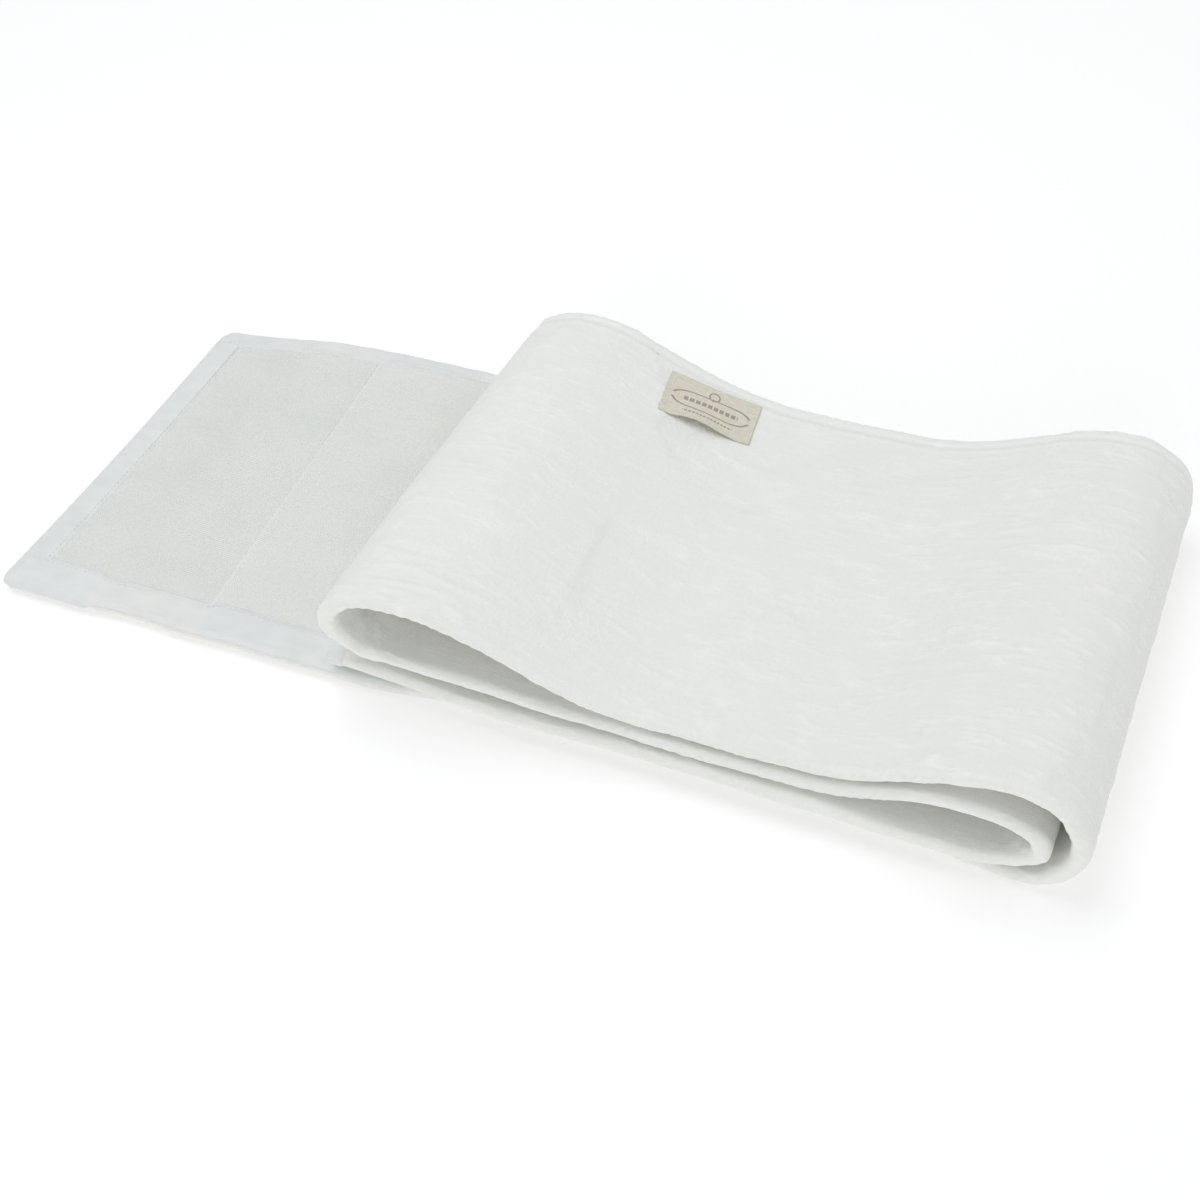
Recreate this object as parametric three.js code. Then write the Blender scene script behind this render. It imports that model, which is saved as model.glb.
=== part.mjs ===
// Padded cotton wrap belt with a hook-tape fastening end, folded for storage.
// Millimetres, +Z up. +X runs along the band from the hook end to the folds, +Y across the band.
// The origin is at the middle of the underside of the folded belt.
//
// The belt is one long strip: hook end, lower run, outer fold, top run, nose, middle run, inner fold
// and bottom run with the free end. Every stretch has an outer cloth, a wadding and a lining.
import * as THREE from 'three';

// Driving dimensions
const BAND_WIDTH = 200;
const CLOTH = 1;
const GAP = 0.3;
const PAD_THICKNESS = 8;
const HOOK_END_THICKNESS = 5.6;
const LAYER_PITCH = 8.5;

// Hook end, measured from its tip: the tape seam, the bend beside the folds and the last hooks
const BINDING_LENGTH = 14;
const TAPE_SEAM = 105;
const WRAP_BEND = 171;
const HOOKS_END = 205;
const TAPE_BASE = 0.8;
const HOOK_HEIGHT = 0.9;
const TAPE_SELVEDGE = 3;
const NEAR_HEM = 17;
const FAR_HEM = 12;
const HEM_THICKNESS = 1.2;

// Folds: the middle of each fold's curve and the size of the curve that the wadding's middle follows
const OUTER_FOLD = { x: 472, reach: 26, height: 52 };
const INNER_FOLD = { x: 460, reach: 24, height: 25.5 };
const NOSE = { x: 213, reach: 31, bottom: 25.2, crown: 63 };
const FLAT_FROM = 330;
const FLAT_TO = 385;
const FREE_END = 177;
const FREE_END_LIFT = 3.5;
const LIFT_FROM = 250;
const FREE_END_BINDING = 2.5;

// Trim
const LABEL = { length: 47, width: 27, fromCrown: 61, fromFarEdge: 10, thickness: 0.6 };
const THREAD = { width: 0.8, height: 0.5 };
const EDGE_STITCH_INSET = 7;
const SEWING_INSET = 2.5;
const SEAM_BESIDE_TAPE = 2;

// Places that follow from the driving dimensions
const HALF_PAD = PAD_THICKNESS / 2;
const RUN_Z = HALF_PAD;
const BOTTOM_Z = RUN_Z + LAYER_PITCH;
const MIDDLE_Z = BOTTOM_Z + LAYER_PITCH;
const TOP_Z = MIDDLE_Z + LAYER_PITCH;
const LENGTH = OUTER_FOLD.x + OUTER_FOLD.reach + HALF_PAD;
const NEAR = -BAND_WIDTH / 2;
const FAR = BAND_WIDTH / 2;
const TAPE_Z = HOOK_END_THICKNESS + GAP;
const TAPE_ACROSS = [NEAR + NEAR_HEM + GAP, FAR - FAR_HEM - GAP];

const FINISHES = {
  cotton: { color: 0xe9ebeb, roughness: 0.95, metalness: 0 },
  wadding: { color: 0xf4f4f0, roughness: 1, metalness: 0 },
  tape: { color: 0xdfdfdc, roughness: 0.75, metalness: 0 },
  binding: { color: 0xd6d9db, roughness: 0.6, metalness: 0 },
  thread: { color: 0xf2f3f3, roughness: 0.7, metalness: 0 },
  label: { color: 0xd6d4c6, roughness: 0.85, metalness: 0 },
};

const belt = new THREE.Group();
belt.position.x = -LENGTH / 2;

function addPiece(name, geometry, finish) {
  const mesh = new THREE.Mesh(geometry, new THREE.MeshStandardMaterial(FINISHES[finish]));
  mesh.name = name;
  belt.add(mesh);
}

// Extrudes an outline drawn in X and Z across the band, from y0 to y1.
function acrossBand(shape, y0, y1) {
  const geometry = new THREE.ExtrudeGeometry(shape, { depth: y1 - y0, bevelEnabled: false });
  geometry.rotateX(Math.PI / 2);
  geometry.translate(0, y1, 0);
  return geometry;
}

// A layer that follows part of a curve, between two offsets towards the outer side of the belt.
function layer(curve, offsets, steps, [y0, y1] = [NEAR, FAR], [start, end] = [0, curve.getLength()]) {
  const total = curve.getLength();
  const outside = [];
  const inside = [];
  for (let i = 0; i <= steps; i += 1) {
    const u = THREE.MathUtils.lerp(start + GAP / 2, end - GAP / 2, i / steps) / total;
    const point = curve.getPointAt(u);
    const tangent = curve.getTangentAt(u);
    const outward = new THREE.Vector2(tangent.y, -tangent.x);
    inside.push(point.clone().addScaledVector(outward, offsets[0]));
    outside.unshift(point.clone().addScaledVector(outward, offsets[1]));
  }
  return acrossBand(new THREE.Shape([...outside, ...inside]), y0, y1);
}

function block([x0, x1], [y0, y1], [z0, z1]) {
  const geometry = new THREE.BoxGeometry(x1 - x0, y1 - y0, z1 - z0);
  geometry.translate((x0 + x1) / 2, (y0 + y1) / 2, (z0 + z1) / 2);
  return geometry;
}

function point(x, z) {
  return new THREE.Vector2(x, z);
}

function joined(...curves) {
  const path = new THREE.CurvePath();
  curves.forEach((curve) => path.add(curve));
  return path;
}

// An S bend between two level stretches, from one height to another.
function easing(x0, z0, x1, z1) {
  const handle = (x1 - x0) * 0.37;
  return new THREE.CubicBezierCurve(
    point(x0, z0), point(x0 + handle, z0), point(x1 - handle, z1), point(x1, z1));
}

function level(x0, x1, z) {
  return new THREE.LineCurve(point(x0, z), point(x1, z));
}

function halfTurn(x, bottom, top, reach, from, clockwise) {
  const middle = (bottom + top) / 2;
  const until = clockwise ? from - Math.PI : from + Math.PI;
  return new THREE.EllipseCurve(x, middle, reach, (top - bottom) / 2, from, until, clockwise);
}

// The curves that the middle of the wadding follows
function beltCurves() {
  const outerTop = RUN_Z + OUTER_FOLD.height;
  const innerTop = BOTTOM_Z + INNER_FOLD.height;
  const quarter = Math.PI / 2;
  return {
    run: level(HOOKS_END, OUTER_FOLD.x, RUN_Z),
    outer_fold: halfTurn(OUTER_FOLD.x, RUN_Z, outerTop, OUTER_FOLD.reach, -quarter, false),
    top: joined(
      easing(OUTER_FOLD.x, outerTop, FLAT_TO, TOP_Z),
      level(FLAT_TO, FLAT_FROM, TOP_Z),
      easing(FLAT_FROM, TOP_Z, NOSE.x, NOSE.crown)),
    nose: halfTurn(NOSE.x, NOSE.bottom, NOSE.crown, NOSE.reach, quarter, false),
    middle: joined(
      easing(NOSE.x, NOSE.bottom, FLAT_FROM, MIDDLE_Z),
      level(FLAT_FROM, FLAT_TO, MIDDLE_Z),
      easing(FLAT_TO, MIDDLE_Z, INNER_FOLD.x, innerTop)),
    inner_fold: halfTurn(INNER_FOLD.x, BOTTOM_Z, innerTop, INNER_FOLD.reach, quarter, true),
    bottom: joined(
      level(INNER_FOLD.x, LIFT_FROM, BOTTOM_Z),
      easing(LIFT_FROM, BOTTOM_Z, FREE_END, BOTTOM_Z + FREE_END_LIFT)),
  };
}

// Outer cloth, wadding and lining of one stretch, from the outer side to the inner side
function addSandwich(name, curve, thickness, steps) {
  const half = thickness / 2;
  addPiece(`outer_cloth_${name}`, layer(curve, [half - CLOTH, half], steps), 'cotton');
  addPiece(`wadding_${name}`, layer(curve, [CLOTH + GAP - half, half - CLOTH - GAP], steps), 'wadding');
  addPiece(`lining_${name}`, layer(curve, [-half, CLOTH - half], steps), 'cotton');
}

function addPaddedStretches(curves) {
  const steps = { run: 1, outer_fold: 16, top: 26, nose: 16, middle: 22, inner_fold: 14, bottom: 8 };
  for (const [name, count] of Object.entries(steps)) {
    addSandwich(name, curves[name], PAD_THICKNESS, count);
  }
}

// A tape whose woven base is a little wider than its field of hooks
function hookTape(x0, x1, leftSelvedge, rightSelvedge) {
  const shape = new THREE.Shape([
    point(x0, TAPE_Z),
    point(x1, TAPE_Z),
    point(x1, TAPE_Z + TAPE_BASE),
    point(x1 - rightSelvedge, TAPE_Z + TAPE_BASE),
    point(x1 - rightSelvedge, TAPE_Z + TAPE_BASE + HOOK_HEIGHT),
    point(x0 + leftSelvedge, TAPE_Z + TAPE_BASE + HOOK_HEIGHT),
    point(x0 + leftSelvedge, TAPE_Z + TAPE_BASE),
    point(x0, TAPE_Z + TAPE_BASE),
  ]);
  return acrossBand(shape, ...TAPE_ACROSS);
}

// A thread line across the tapes, lying on a face at the given height
function crossSeam(x, faceZ) {
  return block([x - THREAD.width, x], TAPE_ACROSS, [faceZ + GAP, faceZ + GAP + THREAD.height]);
}

function addHookEndStretch(name, x0, x1) {
  addSandwich(name, level(x0, x1, HOOK_END_THICKNESS / 2), HOOK_END_THICKNESS, 1);
  const along = [x0 + GAP / 2, x1 - GAP / 2];
  const heights = [TAPE_Z, TAPE_Z + HEM_THICKNESS];
  addPiece(`hem_near_${name}`, block(along, [NEAR, NEAR + NEAR_HEM], heights), 'binding');
  addPiece(`hem_far_${name}`, block(along, [FAR - FAR_HEM, FAR], heights), 'binding');
  const sewn = [TAPE_Z + HEM_THICKNESS + GAP, TAPE_Z + HEM_THICKNESS + GAP + THREAD.height];
  const nearSeam = NEAR + NEAR_HEM - SEWING_INSET;
  const farSeam = FAR - FAR_HEM + SEWING_INSET;
  addPiece(`hem_stitch_near_${name}`, block(along, [nearSeam - THREAD.width, nearSeam], sewn), 'thread');
  addPiece(`hem_stitch_far_${name}`, block(along, [farSeam, farSeam + THREAD.width], sewn), 'thread');
}

function addHookEnd() {
  addHookEndStretch('tip', 0, TAPE_SEAM);
  addHookEndStretch('base', TAPE_SEAM, WRAP_BEND);
  addHookEndStretch('landing', WRAP_BEND, HOOKS_END);
  const end = GAP / 2;
  const tipTape = hookTape(BINDING_LENGTH + GAP, TAPE_SEAM - end, TAPE_SELVEDGE, TAPE_SELVEDGE);
  addPiece('hook_tape_tip', tipTape, 'tape');
  addPiece('hook_tape_base', hookTape(TAPE_SEAM + end, WRAP_BEND - end, TAPE_SELVEDGE, end), 'tape');
  addPiece('hook_tape_landing', hookTape(WRAP_BEND + end, HOOKS_END - end, end, TAPE_SELVEDGE), 'tape');

  const bindingTop = TAPE_Z + HEM_THICKNESS;
  addPiece('end_binding', block([end, BINDING_LENGTH], TAPE_ACROSS, [TAPE_Z, bindingTop]), 'binding');
  addPiece('end_binding_stitch', crossSeam(BINDING_LENGTH - SEWING_INSET, bindingTop), 'thread');
  addPiece('tape_seam_stitch', crossSeam(TAPE_SEAM - SEAM_BESIDE_TAPE, TAPE_Z + TAPE_BASE), 'thread');
}

function addFreeEndBinding(curves) {
  const end = curves.bottom.getPointAt(1);
  const along = [FREE_END - GAP / 2 - FREE_END_BINDING, FREE_END - GAP / 2];
  const heights = [end.y - HALF_PAD, end.y + HALF_PAD];
  addPiece('free_end_binding', block(along, [NEAR, FAR], heights), 'binding');
}

// The thread line that closes the far edge, where it shows: over the nose, the top run and the outer fold
function addEdgeStitch(curves) {
  const onCloth = HALF_PAD + GAP;
  const seam = FAR - EDGE_STITCH_INSET;
  const across = [seam - THREAD.width, seam];
  const steps = { nose: 16, top: 26, outer_fold: 16 };
  for (const [name, count] of Object.entries(steps)) {
    const stitch = layer(curves[name], [onCloth, onCloth + THREAD.height], count, across);
    addPiece(`edge_stitch_${name}`, stitch, 'thread');
  }
}

// The label near the far edge of the top run, and the thread lines over both of its short ends
function addLabel(curves) {
  const onCloth = HALF_PAD + GAP;
  const end = curves.top.getLength() - LABEL.fromCrown;
  const start = end - LABEL.length;
  const across = [FAR - LABEL.fromFarEdge - LABEL.width, FAR - LABEL.fromFarEdge];
  const labelOffsets = [onCloth, onCloth + LABEL.thickness];
  addPiece('label', layer(curves.top, labelOffsets, 8, across, [start, end]), 'label');
  const sewn = onCloth + LABEL.thickness + GAP;
  const sewnOffsets = [sewn, sewn + THREAD.height];
  const right = [start + SEWING_INSET, start + SEWING_INSET + THREAD.width + GAP];
  const left = [end - SEWING_INSET - THREAD.width - GAP, end - SEWING_INSET];
  addPiece('label_stitch_right', layer(curves.top, sewnOffsets, 1, across, right), 'thread');
  addPiece('label_stitch_left', layer(curves.top, sewnOffsets, 1, across, left), 'thread');
}

const curves = beltCurves();
addHookEnd();
addPaddedStretches(curves);
addFreeEndBinding(curves);
addEdgeStitch(curves);
addLabel(curves);

export default belt;
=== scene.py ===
import math

import bpy
import numpy as np
from mathutils import Matrix, Vector


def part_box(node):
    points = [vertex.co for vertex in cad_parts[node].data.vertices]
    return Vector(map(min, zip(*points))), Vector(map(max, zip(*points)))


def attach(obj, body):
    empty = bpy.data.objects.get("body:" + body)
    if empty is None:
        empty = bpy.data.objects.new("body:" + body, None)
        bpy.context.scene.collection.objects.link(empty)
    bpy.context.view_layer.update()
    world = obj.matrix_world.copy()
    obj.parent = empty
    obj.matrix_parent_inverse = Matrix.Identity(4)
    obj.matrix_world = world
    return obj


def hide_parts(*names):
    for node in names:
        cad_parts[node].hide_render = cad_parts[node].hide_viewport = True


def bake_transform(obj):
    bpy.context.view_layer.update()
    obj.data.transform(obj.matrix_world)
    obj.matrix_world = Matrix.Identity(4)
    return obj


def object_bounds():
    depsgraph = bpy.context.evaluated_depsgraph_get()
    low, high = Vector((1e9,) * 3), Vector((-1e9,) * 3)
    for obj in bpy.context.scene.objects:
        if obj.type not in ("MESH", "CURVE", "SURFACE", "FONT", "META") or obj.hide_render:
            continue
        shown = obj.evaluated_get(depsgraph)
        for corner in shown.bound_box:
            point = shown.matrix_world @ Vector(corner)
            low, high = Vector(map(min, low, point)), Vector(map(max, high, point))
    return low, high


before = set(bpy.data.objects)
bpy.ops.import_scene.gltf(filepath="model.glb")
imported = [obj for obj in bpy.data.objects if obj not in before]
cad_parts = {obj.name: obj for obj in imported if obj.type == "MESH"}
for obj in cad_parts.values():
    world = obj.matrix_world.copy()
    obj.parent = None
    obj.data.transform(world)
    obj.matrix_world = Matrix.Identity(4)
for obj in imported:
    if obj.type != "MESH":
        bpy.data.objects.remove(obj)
cad_low, cad_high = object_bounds()

MM = 0.001


# --- places that the frame gives
def box(node):
    low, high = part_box(node)
    return np.array(low), np.array(high)


RUN_LOW, RUN_HIGH = box("wadding_run")
CORE = (RUN_HIGH[2] - RUN_LOW[2]) / 2
CLOTH_LOW, CLOTH_HIGH = box("outer_cloth_run")
HALF_PAD = RUN_HIGH[2] - CORE - CLOTH_LOW[2]
TIP_LOW, TIP_HIGH = box("lining_tip")
HALF_TAIL = TIP_HIGH[2] / 2
LABEL_LOW, LABEL_HIGH = box("label")

NEAR, FAR = CLOTH_LOW[1], CLOTH_HIGH[1]
LOWEST = cad_low[2]
NEAR_HEM = box("hem_near_tip")[1][1] - NEAR
FAR_HEM = FAR - box("hem_far_tip")[0][1]

# Places along the belt, from its tip
TIP_X = TIP_LOW[0]
BINDING_END = box("end_binding")[1][0] - TIP_X
SEAM = TIP_HIGH[0] - TIP_X
BEND = box("lining_base")[1][0] - TIP_X
HOOKS_END = box("lining_landing")[1][0] - TIP_X

# Easings between the level stretches, as in the CAD
CURVE_STEPS = 181
EASING_HANDLE = 0.37
FLAT_FROM_END_OF_FOLD = 87 * MM
FLAT_LENGTH = 55 * MM
LIFT_LENGTH = 73 * MM


# --- the belt's centre line
def half_turn(x, bottom, top, reach, start, clockwise):
    angle = start + np.linspace(0, -math.pi if clockwise else math.pi, CURVE_STEPS)
    z = (bottom + top) / 2 + (top - bottom) / 2 * np.sin(angle)
    return np.stack([x + reach * np.cos(angle), z], 1)


def easing(x0, z0, x1, z1):
    u = np.linspace(0, 1, CURVE_STEPS)
    weights = [(1 - u) ** 3, 3 * u * (1 - u) ** 2, 3 * u * u * (1 - u), u**3]
    handle = EASING_HANDLE * (x1 - x0)
    x = sum(w * a for w, a in zip(weights, [x0, x0 + handle, x1 - handle, x1]))
    z = sum(w * a for w, a in zip(weights, [z0, z0, z1, z1]))
    return np.stack([x, z], 1)


def level(x0, x1, z):
    return np.stack([np.linspace(x0, x1, CURVE_STEPS), np.full(CURVE_STEPS, z)], 1)


def stretches_of_belt():
    """The curves of each stretch of the belt, in order from its tip."""
    fold, top, nose = box("wadding_outer_fold"), box("wadding_top"), box("wadding_nose")
    middle, inner, bottom = box("wadding_middle"), box("wadding_inner_fold"), box("wadding_bottom")
    fold_x, fold_top = RUN_HIGH[0], fold[1][2] - CORE
    nose_x, inner_x = nose[1][0], bottom[1][0]
    run_z, bottom_z = RUN_LOW[2] + CORE, bottom[0][2] + CORE
    middle_z, top_z, inner_top = middle[0][2] + CORE, top[0][2] + CORE, inner[1][2] - CORE
    crown, nose_bottom = nose[1][2] - CORE, nose[0][2] + CORE
    free_x, free_z = box("free_end_binding")[0][0], bottom[1][2] - CORE
    flat_to = fold_x - FLAT_FROM_END_OF_FOLD
    flat_from = flat_to - FLAT_LENGTH
    lift_from = bottom[0][0] + LIFT_LENGTH
    quarter = math.pi / 2
    return {
        "run": [level(TIP_X, fold_x, run_z)],
        "outer_fold": [half_turn(fold_x, run_z, fold_top, fold[1][0] - CORE - fold_x, -quarter, False)],
        "top": [
            easing(fold_x, fold_top, flat_to, top_z),
            level(flat_to, flat_from, top_z),
            easing(flat_from, top_z, nose_x, crown),
        ],
        "nose": [half_turn(nose_x, nose_bottom, crown, nose_x - nose[0][0] - CORE, quarter, False)],
        "middle": [
            easing(nose_x, nose_bottom, flat_from, middle_z),
            level(flat_from, flat_to, middle_z),
            easing(flat_to, middle_z, inner_x, inner_top),
        ],
        "inner_fold": [half_turn(inner_x, bottom_z, inner_top, inner[1][0] - CORE - inner_x, quarter, True)],
        "bottom": [level(inner_x, lift_from, bottom_z), easing(lift_from, bottom_z, free_x, free_z)],
    }


def centre_line():
    """The points of the centre line, and how far along it each stretch ends."""
    stretches = stretches_of_belt()
    points, ends, length = [stretches["run"][0][:1]], {}, 0.0
    for name, curves in stretches.items():
        for curve in curves:
            steps = np.linalg.norm(np.diff(curve, axis=0), axis=1)
            length += steps.sum()
            points.append(curve[1:])
        ends[name] = length
    return np.concatenate(points), ends


LINE, ENDS = centre_line()
LINE_S = np.concatenate([[0], np.cumsum(np.linalg.norm(np.diff(LINE, axis=0), axis=1))])
LINE_TANGENT = np.gradient(LINE, LINE_S, axis=0)
LINE_TANGENT /= np.linalg.norm(LINE_TANGENT, axis=1)[:, None]
FREE_END = ENDS["bottom"]
# The middles of the three turns
OUTER_FOLD = (ENDS["run"] + ENDS["outer_fold"]) / 2
NOSE = (ENDS["top"] + ENDS["nose"]) / 2
INNER_FOLD = (ENDS["middle"] + ENDS["inner_fold"]) / 2


def along(s):
    """Points of the centre line at s, and the directions to the belt's outer side there."""
    point = np.stack([np.interp(s, LINE_S, LINE[:, i]) for i in (0, 1)], -1)
    tangent = np.stack([np.interp(s, LINE_S, LINE_TANGENT[:, i]) for i in (0, 1)], -1)
    tangent /= np.linalg.norm(tangent, axis=-1, keepdims=True)
    outward = np.stack([tangent[..., 1], -tangent[..., 0]], -1)
    return point, outward


# --- small maths
def smooth(value, start, end):
    t = np.clip((value - start) / (end - start), 0, 1)
    return t * t * (3 - 2 * t)


def bump_at(value, centre, width):
    return np.exp(-(((value - centre) / width) ** 2))


def lattice(ix, iy, seed):
    """A repeatable angle for each whole-number point."""
    mixed = (ix * 374761393 + iy * 668265263 + seed * 974634777) & 0xFFFFFFFF
    mixed = ((mixed ^ (mixed >> 13)) * 1274126177) & 0xFFFFFFFF
    return ((mixed ^ (mixed >> 16)) & 0xFFFF) * (2 * math.pi / 65536)


def noise(a, b, seed):
    """Smooth gradient noise of two coordinates, mostly from -1 to 1."""
    a, b = np.broadcast_arrays(a, b)
    ia, ib = np.floor(a).astype(np.int64), np.floor(b).astype(np.int64)
    fa, fb = a - ia, b - ib
    ua, ub = fa**3 * (fa * (fa * 6 - 15) + 10), fb**3 * (fb * (fb * 6 - 15) + 10)
    total = 0.0
    for i in (0, 1):
        for j in (0, 1):
            angle = lattice(ia + i, ib + j, seed)
            dot = np.cos(angle) * (fa - i) + np.sin(angle) * (fb - j)
            total = total + dot * (ua if i else 1 - ua) * (ub if j else 1 - ub)
    return total * 1.6


def ripple(s, pitch_s, y, pitch_y, seed):
    """Noise of two lengths, at a pitch in millimetres along each."""
    return noise(s / (pitch_s * MM), y / (pitch_y * MM), seed)


def waver(s, pitch, row, seed):
    """Noise of one length, at a pitch in millimetres."""
    return noise(s / (pitch * MM), row, seed)


def off_hook_end(s, reach):
    """0 on the hook end, and 1 from reach beyond it."""
    return smooth(s, HOOKS_END, HOOKS_END + reach)


# --- how the folded belt lies
def settle(p):
    """Moves a point of the evenly folded belt to where the real one lies: the near edge stands a little
    higher than the far one, and the folds and the tip are a little askew."""
    x, y, z = p[..., 0], p[..., 1], p[..., 2]
    far = np.clip((y - NEAR) / (FAR - NEAR), 0, 1)
    left = 1 - smooth(x, -20 * MM, 40 * MM)
    right = smooth(x, 120 * MM, 195 * MM)
    middle = 1 - left - right
    slope = bump_at(x, 38 * MM, 42 * MM)
    near_height = 1.065 * left + 1.03 * middle + 1.05 * right - 0.05 * slope
    far_height = 0.93 * left + 0.86 * middle + 0.91 * right + 0.03 * slope
    tail = 1 - smooth(x, -90 * MM, -60 * MM)
    height = near_height + (far_height - near_height) * far
    height = height * (1 - tail) + tail
    in_nose = smooth(-x, 35 * MM, 75 * MM)
    above_tail = smooth(z, 7.8 * MM, 10.5 * MM) * left * (1 - smooth(x, -40 * MM, 20 * MM))
    nose_askew = (far**1.3 * (7 + 7 * in_nose) - 0.6 * (1 - far) ** 2 * in_nose) * above_tail
    fold_askew = (-5 + 11 * far) * smooth(x, 120 * MM, 200 * MM)
    tip_askew = (-2.1 + 11.6 * far + 8 * far * (1 - far)) * (1 - smooth(x, TIP_X, TIP_X + 85 * MM))
    return np.stack([x + (nose_askew + fold_askew + tip_askew) * MM, y, z * height], -1)


def sideways(s):
    """How far each run lies out of line with the others, towards the far side."""
    run = smooth(s, HOOKS_END - 20 * MM, HOOKS_END + 25 * MM)
    run = run * (1 - smooth(s, ENDS["run"] - 60 * MM, ENDS["run"]))
    inner = smooth(s, ENDS["nose"], ENDS["nose"] + 80 * MM)
    lower = smooth(s, ENDS["middle"], ENDS["inner_fold"] + 40 * MM)
    lower = lower * (1 - 0.6 * smooth(s, FREE_END - 120 * MM, FREE_END - 20 * MM))
    drift = waver(s, 90, 0.5, 11) * 0.8
    return (3.8 * run - 1.0 * inner - 3.0 * lower + drift) * MM


def half_thickness(s):
    tail = 1 - smooth(s, HOOKS_END - 8 * MM, HOOKS_END + 20 * MM)
    free = smooth(s, FREE_END - 30 * MM, FREE_END)
    half = HALF_PAD + (HALF_TAIL - HALF_PAD) * tail
    return half * (1 - 0.35 * free)


# The hook end is a little narrower at its tip, with a rounded far corner and a pointed near one
TIP_NARROWING = 9.5 * MM
FAR_CORNER = 8 * MM
NEAR_CORNER = 3 * MM


def corner(s, radius):
    s = np.maximum(s, 0)
    return radius - np.sqrt(np.maximum(radius**2 - np.maximum(radius - s, 0) ** 2, 0))


def near_bulge(s):
    """How far the near edge stands out at the folds."""
    at_outer, at_inner = bump_at(s, OUTER_FOLD, 78 * MM), bump_at(s, INNER_FOLD, 80 * MM)
    return (6 * at_outer + 3.5 * bump_at(s, NOSE - 35 * MM, 95 * MM) + 5 * at_inner) * MM


def edges(s):
    """Where the near and far edges of the band are."""
    wave_near = waver(s, 34, 3.5, 5) * 0.9 * MM
    wave_far = waver(s, 40, 7.5, 6) * 0.7 * MM
    narrowing = TIP_NARROWING * (1 - smooth(s, 0, SEAM))
    near = NEAR + sideways(s) + wave_near - near_bulge(s) + corner(s, NEAR_CORNER)
    far = FAR + sideways(s) + wave_far - narrowing - corner(s, FAR_CORNER)
    return near, far


def place(s, y, offset):
    """Points at s along the belt, y across it and offset over its centre line, as the belt lies."""
    point, outward = along(s)
    x = point[..., 0] + outward[..., 0] * offset
    z = point[..., 1] + outward[..., 1] * offset
    p = settle(np.stack(np.broadcast_arrays(x, y, z), -1))
    p[..., 2] = np.maximum(p[..., 2], LOWEST)
    return p


# --- the surface of the padded band
def padding(s, y):
    """The soft, uneven filling under the cloth."""
    wide = ripple(s, 70, y, 55, 80)
    close = ripple(s, 24, y, 20, 81)
    calm = 1 - 0.85 * (1 - off_hook_end(s, 30 * MM))
    return (0.26 * wide + 0.1 * close) * calm * MM


def ridge(value):
    """Turns smooth noise into narrow crests."""
    return 1 - np.minimum(np.abs(value) * 3.2, 1)


def crinkle(s, v, seed):
    """The height of washed muslin: broken, wandering ridges along the band, and a fainter grid of cross
    threads in places."""
    wander = ripple(s, 40, v, 22, seed) * 2.6 * MM
    w = v + wander
    broad = ripple(s, 24, w, 5.0, seed + 1)
    fine = ripple(s, 10, w, 2.1, seed + 2)
    crest = ridge(ripple(s, 24, w, 4.4, seed + 3)) ** 2
    second = ridge(ripple(s, 15, w, 3.0, seed + 7)) ** 2
    cross = ridge(ripple(s, 3.6, v, 7, seed + 4)) ** 2
    broken = smooth(ripple(s, 20, w, 8, seed + 8), -0.35, 0.45)
    strength = 0.7 + 0.45 * ripple(s, 55, v, 45, seed + 5)
    at_nose = bump_at(s, NOSE, 90 * MM)
    at_fold = bump_at(s, ENDS["outer_fold"], 105 * MM)
    strength = strength + 0.35 * at_nose + 0.55 * at_fold
    grid = 0.25 + 0.75 * smooth(ripple(s, 60, v, 50, seed + 6), -0.2, 0.5)
    calm = 1 - 0.6 * (1 - off_hook_end(s, 20 * MM))
    along_band = 0.08 * broad + 0.03 * fine + broken * (0.36 * crest + 0.16 * second)
    return (strength * along_band + 0.24 * grid * cross) * calm * MM


def long_wrinkles(s, from_near):
    """A few longer wrinkles that run in from the near edge at the nose."""
    at_nose = bump_at(s, NOSE - 25 * MM, 55 * MM) * (1 - smooth(from_near, 8 * MM, 55 * MM))
    lines = ripple(s, 48, from_near + 0.12 * (s - NOSE), 7.5, 21)
    return 0.75 * ridge(lines) * at_nose * MM


def edge_ribs(s, turn, seed):
    """Slanting ribs where the cloth turns round an edge. turn goes from 0 to pi round it."""
    phase = 2 * math.pi * s / (5.5 * MM) + turn * 4.2 + waver(s, 24, 0.5, seed) * 6
    depth = np.clip(0.2 + 1.2 * waver(s, 34, turn * 0.7, seed + 1), 0, 1)
    knobs = waver(s, 7, turn * 1.1, seed + 2)
    return (0.26 * np.sin(phase) * depth + 0.16 * knobs) * np.sin(turn) * MM


# The seam that closes the far edge
SEAM_INSET = 8.2 * MM


def far_seam(s, from_far):
    """The groove of the seam, with the cloth gathered a little beside it."""
    groove = bump_at(from_far, SEAM_INSET, 1.5 * MM)
    beside = bump_at(from_far, SEAM_INSET - 2.8 * MM, 1.6 * MM)
    beside = beside + 0.6 * bump_at(from_far, SEAM_INSET + 2.6 * MM, 1.4 * MM)
    gathers = ripple(s, 3.4, from_far, 9, 31) * bump_at(from_far, SEAM_INSET, 4.5 * MM)
    return (-0.42 * groove + 0.4 * beside + 0.1 * gathers) * MM


def hem_lip(s):
    """The cloth under the near hem stands out a little beyond it."""
    return 1.1 * MM * smooth(s, 42 * MM, 54 * MM) * (1 - off_hook_end(s, 25 * MM))


def fullness(from_near, from_far):
    """The share of its full thickness that the band has near its edges."""
    near = 0.06 * (1 - smooth(from_near, 4 * MM, 17 * MM))
    far = 0.32 * (1 - smooth(from_far, 4 * MM, 13 * MM))
    return 1 - near - far


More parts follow.
